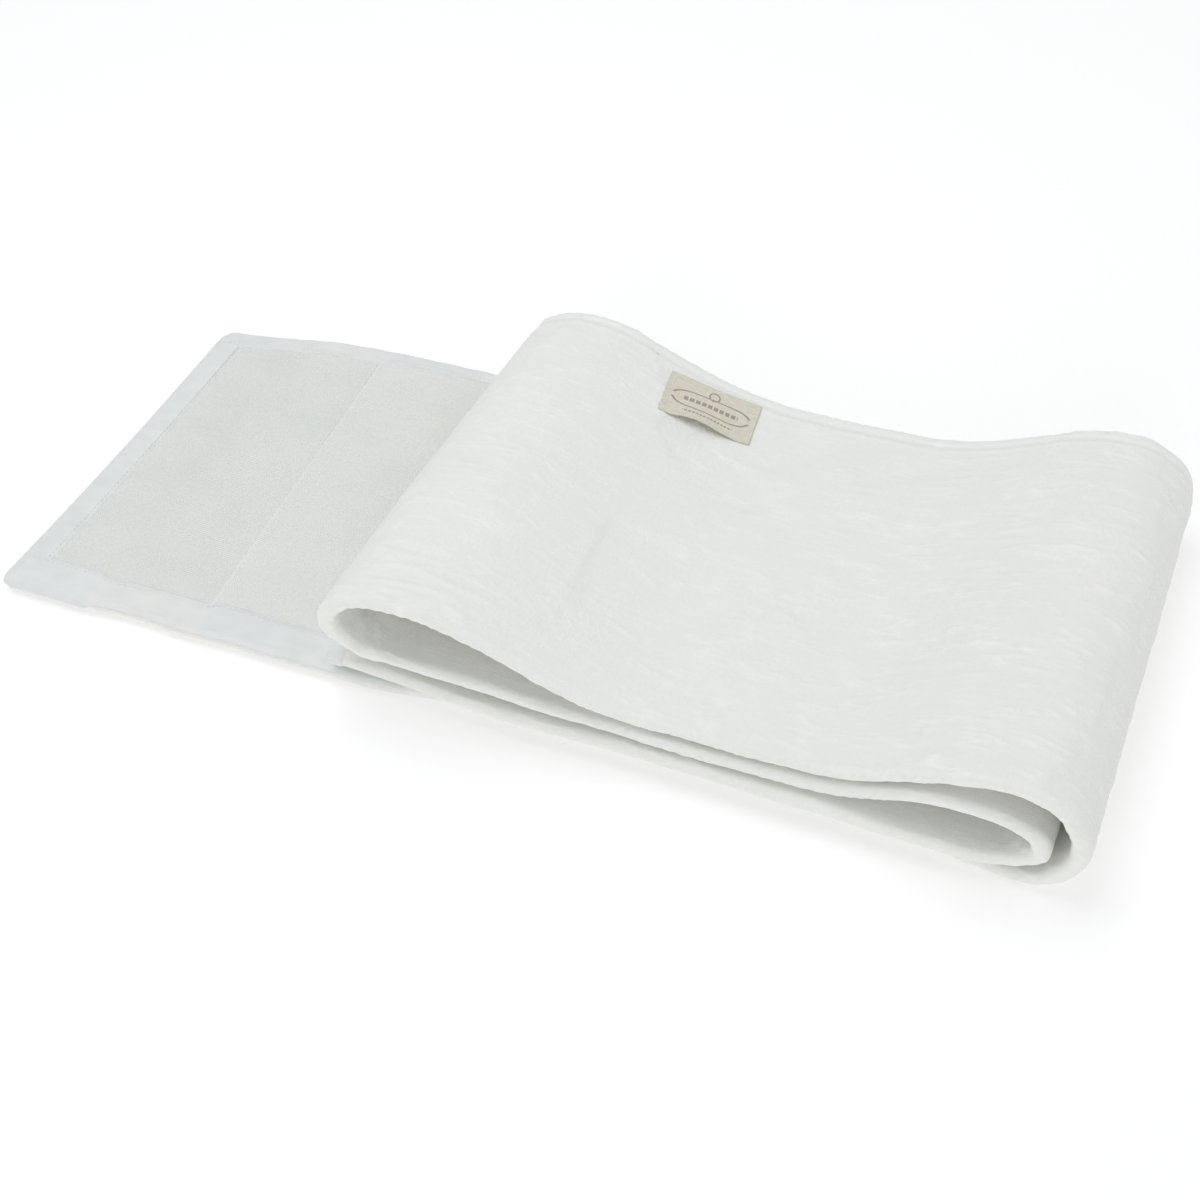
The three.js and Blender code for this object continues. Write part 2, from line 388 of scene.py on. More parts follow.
def ring_place(widths):
    """Where each point of a ring is: 0 to 1 over the outer face, to 2 round the far edge, to 3 back over
    the inner face and to 4 round the near edge."""
    face, edge, back, _ = widths
    turn = np.linspace(0, 1, edge + 2)[1:-1]
    return np.concatenate([np.linspace(0, 1, face), 1 + turn, 2 + np.linspace(0, 1, back), 3 + turn])


EDGE_POINTS = 13
PUFF = {"s": np.array([0.0, 1.0]), "q": np.array([0.0, 4.0]), "height": np.zeros((2, 2))}


def puffs(s, q):
    """The simulated swelling of the padding, at s along the belt and q round its section."""
    si = np.clip(np.interp(s, PUFF["s"], np.arange(len(PUFF["s"]))), 0, len(PUFF["s"]) - 1.001)
    qi = np.clip(np.interp(q, PUFF["q"], np.arange(len(PUFF["q"]))), 0, len(PUFF["q"]) - 1.001)
    i, j = si.astype(int), qi.astype(int)
    u, v = si - i, qi - j
    u, v = u * u * (3 - 2 * u), v * v * (3 - 2 * v)
    h = PUFF["height"]
    low = h[i, j] * (1 - v) + h[i, j + 1] * v
    high = h[i + 1, j] * (1 - v) + h[i + 1, j + 1] * v
    return low * (1 - u) + high * u


def section(s, widths):
    """The smooth section of the band at each s: for each point of a ring its y, its offset from the centre
    line, its direction outwards (across and over), its place round the cloth and its turn at an edge."""
    half = half_thickness(s)[:, None]
    near, far = (edge[:, None] for edge in edges(s))
    near_half, far_half = half * fullness(0, 1), half * fullness(1, 0)
    near_centre, far_centre = near + near_half, far - far_half
    turn = np.linspace(0, math.pi, widths[1] + 2)[1:-1]
    round_edge = np.minimum(turn, math.pi - turn)
    face = near_centre + (far_centre - near_centre) * np.linspace(0, 1, widths[0])
    back = near_centre + (far_centre - near_centre) * np.linspace(1, 0, widths[2])
    face_half = half * fullness(face - near, far - face)
    back_half = half * fullness(back - near, far - back)
    sides = [
        (face, face_half, 0, 1, face, 0),
        (far_centre + far_half * np.sin(turn), far_half * np.cos(turn), np.sin(turn), np.cos(turn),
         far_centre + far_half * round_edge, turn),
        (back, -back_half, 0, -1, back, 0),
        (near_centre - near_half * np.sin(turn), -near_half * np.cos(turn), -np.sin(turn), -np.cos(turn),
         near_centre - near_half * round_edge, turn),
    ]
    spread = [
        [np.broadcast_to(value, (len(s), width)) for value in side] for side, width in zip(sides, widths)
    ]
    return [np.concatenate(part, 1) for part in zip(*spread)]


def band_rings(s, face_points, inner_points, edge_points=EDGE_POINTS, over_band=0.0):
    """Rings of the padded band at each s, with the place of each point on the cloth. over_band is how far
    they stand out from it."""
    widths = (face_points, edge_points, inner_points, edge_points)
    y, offset, across, over, girth, turns = section(s, widths)
    near, far = (edge[:, None] for edge in edges(s))
    column = s[:, None]
    near_side = np.arange(y.shape[1]) >= sum(widths[:3])
    seam = far_seam(column, far - y) * ~near_side
    relief = crinkle(column, girth, 40) + edge_ribs(column, turns, 60) + seam
    rise = relief + puffs(column, ring_place(widths))
    rise = rise + padding(column, y) * np.where(turns > 0, 0.4, 1)
    rise = rise + long_wrinkles(column, y - near) * (over > 0)
    rise = rise + hem_lip(column) * np.sin(turns) ** 2 * near_side
    rise = rise + np.reshape(over_band, (-1, 1))
    points = place(column, y + across * rise, offset + over * rise)
    # The last place of fabric is the relief (crinkles, edge ribs and the far seam), which the cotton's
    # colour turns into painted highlights on crests and the seam's welt and painted shade in its groove
    fabric = np.stack([np.broadcast_to(column, y.shape), girth, relief], -1)
    return points, fabric


def face_height(s, y):
    """How high the band's outer face stands over its centre line, without the crinkle."""
    near, far = edges(s)
    puffed = puffs(s, np.clip((y - near) / (far - near), 0, 1))
    return half_thickness(s) * fullness(y - near, far - y) + padding(s, y) + puffed


# --- meshes
def mesh_object(name, points, faces, fabric, normals=None):
    """An object from vertices and faces. fabric is the place of each vertex on its cloth, for materials."""
    mesh = bpy.data.meshes.new(name)
    mesh.from_pydata(points.tolist(), [], faces)
    attribute = mesh.attributes.new("fabric", "FLOAT_VECTOR", "POINT")
    attribute.data.foreach_set("vector", fabric.astype(np.float32).ravel())
    mesh.polygons.foreach_set("use_smooth", np.ones(len(mesh.polygons), bool))
    mesh.update()
    if normals is not None:
        mesh.normals_split_custom_set_from_vertices(normals.tolist())
    piece = bpy.data.objects.new(name, mesh)
    bpy.context.scene.collection.objects.link(piece)
    return piece


def ring_normals(rings):
    """Outward normals of a stack of closed rings."""
    down = np.gradient(rings, axis=0)
    around = (np.roll(rings, -1, axis=1) - np.roll(rings, 1, axis=1)) / 2
    normal = np.cross(down, around)
    return normal / np.maximum(np.linalg.norm(normal, axis=-1, keepdims=True), 1e-12)


def loft(name, rings, fabric, normals, capped=(True, True)):
    """A body from a stack of closed rings, with a fan of faces over its capped ends."""
    count, width = rings.shape[:2]
    points = np.concatenate([rings.reshape(-1, 3), [rings[0].mean(0), rings[-1].mean(0)]])
    cloth = np.concatenate([fabric.reshape(-1, 3), [fabric[0].mean(0), fabric[-1].mean(0)]])
    ends = [rings[0].mean(0) - rings[1].mean(0), rings[-1].mean(0) - rings[-2].mean(0)]
    ends = [end / np.linalg.norm(end) for end in ends]
    normals = np.concatenate([normals.reshape(-1, 3), ends])
    i, j = np.meshgrid(np.arange(count - 1), np.arange(width), indexing="ij")
    a, b = i * width + j, i * width + (j + 1) % width
    faces = np.stack([a, a + width, b + width, b], -1).reshape(-1, 4).tolist()
    start, finish, last = count * width, count * width + 1, (count - 1) * width
    for j in range(width):
        k = (j + 1) % width
        if capped[0]:
            faces.append([start, j, k])
        if capped[1]:
            faces.append([finish, last + k, last + j])
    return mesh_object(name, points, faces, cloth, normals)


def sheet_mesh(name, grid, fabric):
    """A sheet from a grid of points."""
    count, width = grid.shape[:2]
    i, j = np.meshgrid(np.arange(count - 1), np.arange(width - 1), indexing="ij")
    a = i * width + j
    faces = np.stack([a, a + 1, a + width + 1, a + width], -1).reshape(-1, 4).tolist()
    return mesh_object(name, grid.reshape(-1, 3), faces, fabric.reshape(-1, 3))


# --- which stretches follow a body
# Places where one piece ends and the next begins
CUT = (SEAM + BEND) / 2
BACK_CUT = HOOKS_END + 4 * MM


def follow(piece, zone):
    """The pieces of the run and the roll are attached to their bodies; those of the tip, the wrap and the
    fold keep their place.
    """
    bends = {
        "tip": ("tip_panel", "wrap_panel", SEAM, "tip_bend"),
        "wrap": ("wrap_panel", "lower", BEND, "wrap_bend"),
    }
    if zone in bends:
        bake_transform(piece)
    elif zone == "fold":
        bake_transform(piece)
    else:
        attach(piece, {"run": "lower", "roll": "roll"}[zone])


def finish_piece(piece, zone, look, replaced=()):
    piece.data.materials.append(look)
    follow(piece, zone)
    if replaced:
        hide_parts(*replaced)


# --- the padded band
def stations(start, end, pitch):
    """Places along the belt, closer together towards its two ends, where the band is rounded off."""
    count = max(2, int(round((end - start) / pitch)) + 1)
    s = np.linspace(start, end, count)
    rounded = HALF_TAIL * (1 - np.cos(np.linspace(0.03, math.pi / 2, 10)))[:-1]
    if start == 0:
        s = np.concatenate([rounded, s[s > HALF_TAIL]])
    if end == FREE_END:
        s = np.concatenate([s[s < FREE_END - HALF_TAIL], FREE_END - rounded[::-1]])
    return s


def round_off(rings, s):
    """Closes the band's thickness towards its two ends."""
    to_end = np.clip(np.minimum(s, FREE_END - s) / HALF_TAIL, 0, 1)
    share = np.sqrt(np.clip(1 - (1 - to_end) ** 2, 0.0005, 1))
    middle = rings.mean(1, keepdims=True)
    rings[..., 2] = middle[..., 2] + (rings[..., 2] - middle[..., 2]) * share[:, None]
    return rings


def band(zone, name, start, end, pitch, face_points, inner_points, replaced):
    """One stretch of the padded band. Its normals come from a slightly longer stretch, so that it meets
    its neighbours without a crease."""
    s = stations(start, end, pitch)
    longer = np.concatenate([[s[0] - pitch * 0.5], s, [s[-1] + pitch * 0.5]])
    longer = np.clip(longer, 0, FREE_END)
    rings, fabric = band_rings(longer, face_points, inner_points)
    rings = round_off(rings, longer)
    normals = ring_normals(rings)[1:-1]
    capped = (start == 0, end == FREE_END)
    piece = loft(name, rings[1:-1], fabric[1:-1], normals, capped)
    finish_piece(piece, zone, COTTON, replaced)


# The padding is puffed up by a short cloth simulation of the whole belt on a coarse mesh
SIM_PITCH = 5 * MM
SIM_FACE, SIM_EDGE = 42, 3
SIM_FRAMES = 18
SIM_CLOTH = {
    "quality": 5,
    "mass": 0.25,
    "tension_stiffness": 12,
    "compression_stiffness": 12,
    "shear_stiffness": 6,
    "bending_stiffness": 0.6,
    "air_damping": 3,
    "shrink_min": -0.045,
    "use_pressure": True,
    "uniform_pressure_force": 3,
}
PUFF_CAP = 0.5 * MM


def simulate_puffs():
    """Inflates a coarse copy of the belt whose cloth is a little too large for it, and keeps how far
    each place has risen or sunk, without the overall swelling."""
    s = np.arange(4 * MM, FREE_END - 4 * MM, SIM_PITCH)
    rings, fabric = band_rings(s, SIM_FACE, SIM_FACE, SIM_EDGE)
    normals = ring_normals(rings)
    coarse = loft("puffing", rings, fabric, normals)
    settings = coarse.modifiers.new("cloth", "CLOTH").settings
    for setting, value in SIM_CLOTH.items():
        setattr(settings, setting, value)
    settings.effector_weights.gravity = 0
    scene = bpy.context.scene
    for number in range(1, SIM_FRAMES + 1):
        scene.frame_set(number)
    settled = coarse.evaluated_get(bpy.context.evaluated_depsgraph_get())
    flat = np.empty(len(settled.data.vertices) * 3)
    settled.data.vertices.foreach_get("co", flat)
    moved = flat.reshape(-1, 3)[: rings.shape[0] * rings.shape[1]].reshape(rings.shape) - rings
    scene.frame_set(1)
    mesh = coarse.data
    bpy.data.objects.remove(coarse)
    bpy.data.meshes.remove(mesh)
    height = (moved * normals).sum(-1)
    height = height - np.median(height, axis=1, keepdims=True)
    height = PUFF_CAP * np.tanh(height / PUFF_CAP)
    calm = 0.25 + 0.75 * off_hook_end(s, 40 * MM)
    widths = (SIM_FACE, SIM_EDGE, SIM_FACE, SIM_EDGE)
    PUFF.update(s=s, q=ring_place(widths), height=height * calm[:, None])


def layers(*stretches):
    cloths = ("outer_cloth", "wadding", "lining")
    return [f"{cloth}_{stretch}" for stretch in stretches for cloth in cloths]


def make_band():
    fold_end, nose_end = ENDS["outer_fold"], ENDS["nose"]
    band("tip", "pad_tip", 0, CUT, 1.8 * MM, 120, 120, layers("tip"))
    band("wrap", "pad_base", CUT, BACK_CUT, 2 * MM, 120, 120, layers("base", "landing"))
    band("run", "pad_run", BACK_CUT, ENDS["run"], 1.6 * MM, 120, 120, layers("run"))
    band("fold", "pad_outer_fold", ENDS["run"], fold_end, 1.1 * MM, 310, 100, layers("outer_fold"))
    band("roll", "pad_top", fold_end, nose_end, 1.1 * MM, 310, 100, layers("top", "nose"))
    inner = layers("middle", "inner_fold", "bottom")
    band("roll", "pad_inner", nose_end, FREE_END, 1.6 * MM, 120, 120, inner)


# --- strips folded over the two ends
FREE_BINDING = 9 * MM
FREE_BINDING_LIFT = 0.5 * MM
TIP_BINDING = BINDING_END + 2.5 * MM
TIP_BINDING_LIFT = 1.2 * MM
# Place along the binding tape from which all its lengths look alike
PLAIN_LENGTH = 350 * MM


def bound_end(zone, name, start, end, lift, replaced):
    """A strip folded over an end of the band: it hugs the band on both faces, a little above it, and
    starts sunk in the cloth."""
    s = stations(start, end, 0.9 * MM)
    from_inner = s - start if end == FREE_END else end - s
    puffed = 0.25 * MM * np.sin(math.pi * np.clip(from_inner / (end - start), 0, 1))
    over_band = lift * (1.4 * smooth(from_inner, 0, 1.3 * MM) - 0.4) + puffed
    rings, fabric = band_rings(s, 130, 130, EDGE_POINTS, over_band)
    rings = round_off(rings, s)
    to_end = np.minimum(s, FREE_END - s)
    rings[..., 0] -= lift * (1 - smooth(to_end, 0, HALF_TAIL))[:, None]
    capped = (start == 0, end == FREE_END)
    piece = loft(name, rings, fabric + [PLAIN_LENGTH, 0, 0], ring_normals(rings), capped)
    finish_piece(piece, zone, BINDING, replaced)


def bind_ends():
    free_start = FREE_END - FREE_BINDING
    bound_end("tip", "binding_tip", 0, TIP_BINDING, TIP_BINDING_LIFT, ["end_binding"])
    bound_end("roll", "binding_free_end", free_start, FREE_END, FREE_BINDING_LIFT, ["free_end_binding"])


# --- strips on the hook end
TAPE_LIFT = 0.3 * MM
TAPE_THICKNESS = 0.6 * MM
TAPE_ROWS = 210
HEM_LIFT = 0.5 * MM
HEM_THICKNESS = 0.95 * MM
HEM_ROWS = 18
# How far a hem goes round the edge, in radians
FULL_WRAP = 2.25


def tail_top(s, y):
    """The offset of the hook end's upper face."""
    near, far = edges(s)
    return -half_thickness(s) * fullness(y - near, far - y)


def tape(zone, name, start, end, falls, replaced, seed):
    """A stretch of hook tape across the belt, with its fine rows of hooks. falls is the length over which
    each of its two ends goes down to the cloth below, or None."""
    t = np.linspace(0, 1, TAPE_ROWS)[None, :]
    s = np.linspace(start, end, int((end - start) / (0.9 * MM)) + 1)[:, None] + 0 * t
    near, far = edges(s)
    low, high = near + hem_width_near(s) - 3 * MM, far - hem_width_far(s) + 3 * MM
    y = low + (high - low) * t
    slant = np.abs((y / (18 * MM)) % 1 - 0.5) * 18 * MM
    rows = np.sin(2 * math.pi * (s + slant) / (2.4 * MM))
    uneven = ripple(s, 28, y, 24, seed) * 0.2
    grain = ripple(s, 1.9, y, 1.9, seed + 1)
    height = TAPE_LIFT + TAPE_THICKNESS + (0.05 * rows + 0.06 * grain + uneven) * MM
    height = height + 0.6 * MM * bump_at(s, SEAM - 2.2 * MM, 1.3 * MM)
    to_ends = [d / fall if fall else 1 for d, fall in zip((s - start, end - s), falls)]
    to_side = np.minimum(t, 1 - t) * (TAPE_ROWS - 1) / 1.5
    height = height * np.clip(np.minimum(np.minimum(*to_ends), to_side), 0, 1)
    grid = place(s, y, tail_top(s, y) - height)
    fabric = np.stack(np.broadcast_arrays(s, y, height), -1)
    piece = sheet_mesh(name, grid[:, ::-1], fabric[:, ::-1])
    finish_piece(piece, zone, HOOK_TAPE, replaced)


def hem(zone, name, start, end, near_side, width, wrap, replaced, seed):
    """A strip folded over an edge of the hook end, from its inner edge on top, wrap radians round the
    edge. It runs out flat where it starts and where the hooks end."""
    s = np.linspace(start, end, int((end - start) / (1.6 * MM)) + 1)[:, None]
    near, far = edges(s)
    edge, inward = (near, 1) if near_side else (far, -1)
    edge_half = half_thickness(s) * (fullness(0, 1) if near_side else fullness(1, 0))
    inner, centre = edge + inward * width(s), edge + inward * edge_half
    run_out = smooth(s, 0, 4 * MM) * (1 - smooth(s, HOOKS_END - 14 * MM, HOOKS_END - 1 * MM))
    lift = (HEM_LIFT + HEM_THICKNESS) * (0.08 + 0.92 * run_out)
    flat_t = np.linspace(0, 1, HEM_ROWS)[None, :]
    share = flat_t[:, 1:]
    turn = wrap(s) * share
    flat_y = inner + (centre - inner) * flat_t
    rise = lift * np.clip(flat_t * (HEM_ROWS - 1) / 1.2 - 0.2, -0.1, 1)
    uneven = 0.15 * waver(s, 15, flat_t * 3, seed)
    puffed = (0.3 * np.sin(math.pi * flat_t) + uneven) * run_out * MM
    wave = 0.25 * MM * waver(s, 9, turn, seed + 3) * run_out
    radius = edge_half + (lift + wave) * np.clip((1 - share) / 0.12, -0.3, 1)
    turn_y = centre - inward * radius * np.sin(turn)
    y = np.concatenate([flat_y, turn_y], 1)
    offset = np.concatenate([tail_top(s, flat_y) - rise - puffed, -radius * np.cos(turn)], 1)
    grid = place(s, y, offset)
    steps = np.linalg.norm(np.diff(grid, axis=1), axis=2)
    girth = np.concatenate([0 * s, np.cumsum(steps, 1)], 1)
    fabric = np.stack([np.broadcast_to(s, girth.shape), girth, offset], -1)
    if not near_side:
        grid, fabric = grid[:, ::-1], fabric[:, ::-1]
    piece = sheet_mesh(name, grid, fabric)
    finish_piece(piece, zone, BINDING, replaced)


def hem_width_near(s):
    """The near hem, narrower between the tip's fold and the tapes' seam."""
    narrow = smooth(s, 46 * MM, 48 * MM) * (1 - smooth(s, SEAM - 1 * MM, SEAM + 1 * MM))
    return NEAR_HEM + (1.2 - 2.0 * narrow) * MM + waver(s, 40, 0.5, 91) * 0.8 * MM


def hem_width_far(s):
    """The far hem, narrower beyond the tapes' seam."""
    narrow = smooth(s, SEAM - 10 * MM, SEAM + 30 * MM)
    return FAR_HEM - 3.5 * MM * narrow + waver(s, 35, 0.5, 92) * 0.8 * MM


def wrap_near(s):
    """How far round the edge the near hem goes: less beyond the tip's fold."""
    return FULL_WRAP - 1.2 * smooth(s, 42 * MM, 52 * MM)


def make_hook_end():
    fall, overlap, base = 1.1 * MM, 3 * MM, ["hook_tape_base", "hook_tape_landing"]
    tape("tip", "hook_tape_inner_a", SEAM - overlap, CUT, (fall, None), (), 111)
    tape("wrap", "hook_tape_inner_b", CUT, HOOKS_END, (None, fall), base, 111)
    tape("tip", "hook_tape_outer", TIP_BINDING - 2 * MM, SEAM, (fall, overlap), ["hook_tape_tip"], 101)
    for side, near_side, width, wrap in (
        ("near", True, hem_width_near, wrap_near),
        ("far", False, hem_width_far, lambda s: FULL_WRAP),
    ):
        tip, base = [f"hem_{side}_tip"], [f"hem_{side}_base", f"hem_{side}_landing"]
        hem("tip", f"hem_{side}_a", 0.5 * MM, CUT, near_side, width, wrap, tip, 121)
        hem("wrap", f"hem_{side}_b", CUT, HOOKS_END, near_side, width, wrap, base, 121)


# --- the label
LABEL_LIFT = 0.35 * MM
LABEL_THICKNESS = 0.45 * MM
LABEL_STAND = 4.2 * MM
# It lies a little askew: it starts beyond its place in the CAD, and it leans and turns
LABEL_START, LABEL_SPAN = 0.13, 1.02
LABEL_LEAN = 2.0 * MM
LABEL_RISE, LABEL_TURN = 1.5 * MM, 5.5 * MM


def label_ends():
    """Where the label's right and left ends are along the belt."""
    s_all = np.linspace(ENDS["outer_fold"], ENDS["top"], 2000)
    x_all = along(s_all)[0][:, 0]
    return [float(np.interp(-x, -x_all, s_all)) for x in (LABEL_HIGH[0], LABEL_LOW[0])]


def on_label(u, v):
    """The place along and across the belt of a point of the label, from its right end and near edge."""
    s0, s1 = label_ends()
    s = s0 + (s1 - s0) * (LABEL_START + LABEL_SPAN * u) + LABEL_LEAN * (v - 0.5)
    y = LABEL_LOW[1] + (LABEL_HIGH[1] - LABEL_LOW[1]) * v + LABEL_RISE - LABEL_TURN * u
    return s, y


def thick_sheet(name, tops, lows, cloth):
    """A closed sheet from grids of points on its two faces. The lower one has 1 in cloth's last place."""
    count, width = tops.shape[:2]
    grid = np.concatenate([tops, lows[::-1]], 0)
    fabric = np.concatenate([cloth, cloth[::-1] + np.array([0, 0, 1.0])], 0)
    rows = 2 * count
    faces = []
    for i in range(rows):
        k = (i + 1) % rows
        for j in range(width - 1):
            faces.append([i * width + j, i * width + j + 1, k * width + j + 1, k * width + j])
    for j in (0, width - 1):
        for i in range(count - 1):
            a, b = i * width + j, (i + 1) * width + j
            c, d = (rows - 1 - i) * width + j, (rows - 2 - i) * width + j
            faces.append([a, b, d, c] if j == 0 else [a, c, d, b])
    return mesh_object(name, grid.reshape(-1, 3), faces, fabric.reshape(-1, 3))


def make_label():
    """A printed tape label, sewn down at its short ends, which stands up a little in between."""
    u = np.linspace(0, 1, 61)[:, None]
    v = np.linspace(0, 1, 37)[None, :]
    s, y = on_label(u, v)
    free = np.sin(math.pi * np.clip((u - 0.06) / 0.88, 0, 1) ** 1.4) ** 1.3
    stand = free * (LABEL_STAND * (1 - v) ** 2 + 0.5 * MM)
    uneven = 0.25 * MM * noise(u * 3, v * 2, 141)
    height = face_height(s, y) + LABEL_LIFT + stand + uneven
    cloth = np.stack(np.broadcast_arrays(u, v, 0.0), -1)
    tops = place(s, y, height + LABEL_THICKNESS)
    piece = thick_sheet("label_tape", tops, place(s, y, height), cloth)
    finish_piece(piece, "roll", LABEL, ["label"])
    s0, s1 = label_ends()


def sew_label():
    for name, u in (("label_stitch_right", 0.045), ("label_stitch_left", 0.955)):
        s, y = on_label(u, np.linspace(0.06, 0.94, 10))
        height = face_height(s, y) + LABEL_LIFT + LABEL_THICKNESS + 0.25 * MM
        stitches(name, "roll", place(s, y, height), [name])


# --- sewing
def stitches(name, zone, path, replaced, pitch=2.6 * MM, radius=0.24 * MM):
    """Short stitches along a path of points, each a little bowed and sunk at its ends."""
    steps = np.linalg.norm(np.diff(path, axis=0), axis=1)
    length = np.concatenate([[0], np.cumsum(steps)])
    count = max(1, int(length[-1] / pitch))
    points, faces = [], []
    rings, sides = 7, 6
    arch = np.sin(np.linspace(0, math.pi, rings))
    thick = radius * (0.35 + 0.65 * arch)
    turns = np.linspace(0, 2 * math.pi, sides + 1)[:-1]
    for i in range(count):
        d = (i + np.linspace(0.12, 0.88, rings)) * length[-1] / count
        centre = np.stack([np.interp(d, length, path[:, k]) for k in range(3)], 1)
        forward = centre[-1] - centre[0]
        forward /= np.linalg.norm(forward)
        side = np.cross(forward, (0, 0, 1.0))
        side /= max(np.linalg.norm(side), 1e-9)
        up = np.cross(side, forward)
        base = len(points)
        for c, w, a in zip(centre, thick, arch):
            middle = c + up * (a - 0.9) * 0.3 * MM
            points += [middle + w * (math.cos(t) * side + math.sin(t) * up) for t in turns]
        for k in range(rings - 1):
            for j in range(sides):
                a, b = base + k * sides + j, base + k * sides + (j + 1) % sides
                faces.append([a, b, b + sides, a + sides])
        last = base + (rings - 1) * sides
        faces += [[base + j for j in reversed(range(sides))], [last + j for j in range(sides)]]
    points = np.array(points)
    piece = mesh_object(name + "_sewn", points, faces, points.copy())
    finish_piece(piece, zone, THREAD, replaced)


def across_tapes(at, lift):
    """A straight line between the hems, at a place along the belt and lift over its upper face."""
    t = np.linspace(0, 1, 80)
    s = np.full(80, at)
    near, far = edges(s)
    y = near + NEAR_HEM + (far - near - NEAR_HEM - FAR_HEM) * t
    return place(s, y, tail_top(s, y) - lift)


def sew_hook_end():
    """The stitch lines along the hems, the strip at the tip and the seam between the tapes."""
    lift = HEM_LIFT + HEM_THICKNESS + 0.1 * MM
    for side, width, near_side in (("near", hem_width_near, True), ("far", hem_width_far, False)):
        zones = [("tip", 6 * MM, CUT, ["tip"]), ("wrap", CUT, HOOKS_END, ["base", "landing"])]
        for zone, start, end, nodes in zones:
            s = np.linspace(start, end, 80)
            near, far = edges(s)
            y = near + width(s) - 3 * MM if near_side else far - width(s) + 2.6 * MM
            path = place(s, y, tail_top(s, y) - lift - 0.2 * MM)
            replaced = [f"hem_stitch_{side}_{node}" for node in nodes]
            stitches(f"hem_stitch_{side}_{zone}", zone, path, replaced)
    path = across_tapes(TIP_BINDING - 2.8 * MM, lift)
    stitches("end_binding_stitch", "tip", path, ["end_binding_stitch"])
    path = across_tapes(SEAM - 2.6 * MM, TAPE_LIFT + TAPE_THICKNESS + 0.1 * MM)
    stitches("tape_seam_stitch", "tip", path, ["tape_seam_stitch"], radius=0.18 * MM)


def sew_far_edge():
    """The stitches in the groove of the far edge's seam, almost sunk in the cloth."""
    stretches = [
        ("fold", ENDS["run"], ENDS["outer_fold"], ["edge_stitch_outer_fold"]),
        ("roll", ENDS["outer_fold"], ENDS["nose"], ["edge_stitch_top", "edge_stitch_nose"]),
    ]
    for zone, start, end, nodes in stretches:
        s = np.linspace(start, end, 400)
        y = edges(s)[1] - SEAM_INSET
        path = place(s, y, face_height(s, y) - 0.48 * MM)
        stitches(f"edge_stitch_{zone}", zone, path, nodes, pitch=3.4 * MM, radius=0.2 * MM)


# --- materials
class Nodes:
    """Builds a procedural material from small steps."""

    def __init__(self, name):
        self.material = bpy.data.materials.new(name)
        self.material.use_nodes = True
        self.tree = self.material.node_tree
        self.shader = self.tree.nodes["Principled BSDF"]

    def set(self, **values):
        for name, value in values.items():
            self.shader.inputs[name.replace("_", " ")].default_value = value

    def value(self, target, source):
        if isinstance(source, (int, float)):
            target.default_value = source
        else:
            self.tree.links.new(source, target)

    def math(self, operation, *inputs):
        node = self.tree.nodes.new("ShaderNodeMath")
        node.operation = operation
        for socket, source in zip(node.inputs, inputs):
            self.value(socket, source)
        return node.outputs[0]

    def times(self, a, b):
        return self.math("MULTIPLY", a, b)

    def minus(self, a, b):
        return self.math("SUBTRACT", a, b)

    def place_on_cloth(self):
        place = self.tree.nodes.new("ShaderNodeAttribute")
        place.attribute_name = "fabric"
        split = self.tree.nodes.new("ShaderNodeSeparateXYZ")
        self.tree.links.new(place.outputs["Vector"], split.inputs[0])
        return split

    def cloth(self):
        """The place on the cloth in millimetres: along it, across it and through it."""
        split = self.place_on_cloth()
        return [self.times(split.outputs[i], 1000) for i in range(3)]

    def texture(self, along, across, depth=0.0, detail=2.0):
        """Noise stretched over along and across millimetres."""
        u, v = self.cloth_mm[:2]
        joined = self.tree.nodes.new("ShaderNodeCombineXYZ")
        self.value(joined.inputs[0], self.math("DIVIDE", u, along))
        self.value(joined.inputs[1], self.math("DIVIDE", v, across))
        self.value(joined.inputs[2], depth)
        node = self.tree.nodes.new("ShaderNodeTexNoise")
        node.inputs["Scale"].default_value = 1
        node.inputs["Detail"].default_value = detail
        self.tree.links.new(joined.outputs[0], node.inputs["Vector"])
        return node.outputs[0]

    def wave(self, value, pitch):
        return self.math("SINE", self.times(value, 2 * math.pi / pitch))

    def total(self, *terms):
        """The sum of value times weight."""
        result = None
        for value, weight in terms:
            term = self.times(value, weight)
            result = term if result is None else self.math("ADD", result, term)
        return result

    def ramp(self, value, stops):
        node = self.tree.nodes.new("ShaderNodeValToRGB")
        elements = node.color_ramp.elements
        while len(elements) < len(stops):
            elements.new(0.5)
        for element, (position, color) in zip(elements, stops):
            element.position = position
            element.color = (*color, 1)
        self.tree.links.new(value, node.inputs[0])
        return node.outputs[0]

    def color(self, source):
        self.tree.links.new(source, self.shader.inputs["Base Color"])

    def tint(self, source):
        """Multiplies the colour that the shader already has."""
        link = self.shader.inputs["Base Color"].links[0]
        mix = self.tree.nodes.new("ShaderNodeMix")
        mix.data_type, mix.blend_type = "RGBA", "MULTIPLY"
        mix.inputs["Factor"].default_value = 1
        self.tree.links.new(link.from_socket, mix.inputs["A"])
        self.tree.links.new(source, mix.inputs["B"])
        self.color(mix.outputs["Result"])

    def roughness(self, value, low, high):
        node = self.tree.nodes.new("ShaderNodeMapRange")
        node.inputs["To Min"].default_value = low
        node.inputs["To Max"].default_value = high
        self.tree.links.new(value, node.inputs["Value"])
        self.tree.links.new(node.outputs[0], self.shader.inputs["Roughness"])

    def bump(self, height, distance, strength=1.0):
        node = self.tree.nodes.new("ShaderNodeBump")
        node.inputs["Strength"].default_value = strength
        node.inputs["Distance"].default_value = distance
        self.tree.links.new(height, node.inputs["Height"])
        self.tree.links.new(node.outputs[0], self.shader.inputs["Normal"])


